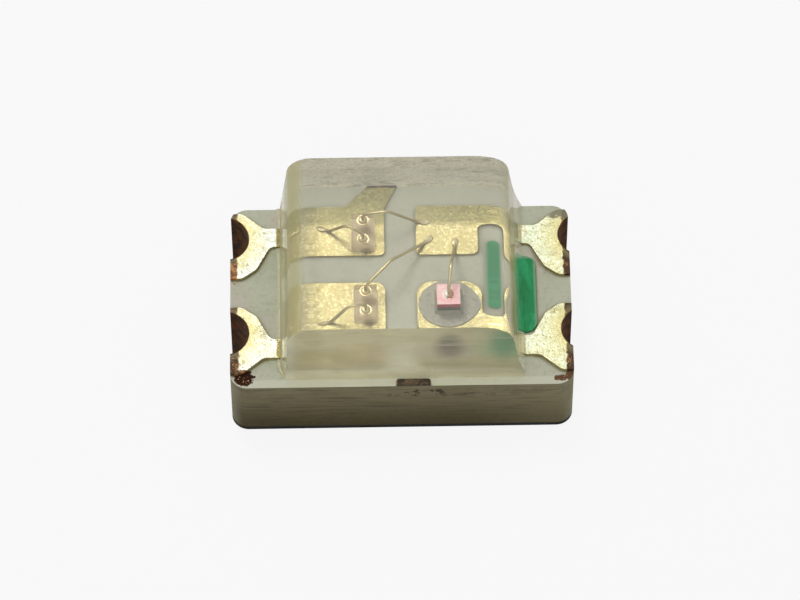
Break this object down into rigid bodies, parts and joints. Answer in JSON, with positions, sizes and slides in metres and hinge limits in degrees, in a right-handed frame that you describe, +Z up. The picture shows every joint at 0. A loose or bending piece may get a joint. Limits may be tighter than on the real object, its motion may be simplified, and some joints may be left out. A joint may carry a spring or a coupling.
{
  "type": "surface-mount led",
  "caption": "Top-view chip LED: laminate board with gold corner terminals and a clear moulded lens over red, green and blue dies with bond wires.",
  "frame": {"origin": "under the middle of the board, on the plane of the solder faces", "axes": "+X along the board, +Y towards its back edge, +Z up out of the lens"},
  "size_m": [0.002, 0.0012, 0.001],
  "materials": {
    "laminate": "woven glass laminate, sawn edges",
    "gold_plate": "gold plate over copper, pitted",
    "bare_copper": "tarnished copper, sawn",
    "green_resist": "printed solder resist",
    "red_chip": "polished semiconductor, sawn sides",
    "clear_chip": "polished sapphire",
    "silver_paste": "cured silver-filled resin",
    "clear_glue": "cured clear resin",
    "contact_metal": "vapour-deposited gold",
    "gold_wire": "drawn gold wire",
    "clear_resin": "moulded clear resin, sawn front and back"
  },
  "bodies": {
    "root": {"substrate": "laminate", "green_terminal": "gold_plate", "blue_terminal": "gold_plate", "common_terminal": "gold_plate", "red_terminal": "gold_plate", "tie_bar_stub": "bare_copper", "polarity_mark": "green_resist", "resist_bar": "green_resist", "red_die": "red_chip", "green_die": "clear_chip", "blue_die": "clear_chip", "red_paste": "silver_paste", "green_glue": "clear_glue", "blue_glue": "clear_glue", "red_contact": "contact_metal", "green_front_contact": "contact_metal", "green_back_contact": "contact_metal", "blue_front_contact": "contact_metal", "blue_back_contact": "contact_metal", "red_wire": "gold_wire", "green_common_wire": "gold_wire", "green_wire": "gold_wire", "blue_common_wire": "gold_wire", "blue_wire": "gold_wire", "lens": "clear_resin"}
  },
  "joints": []
}
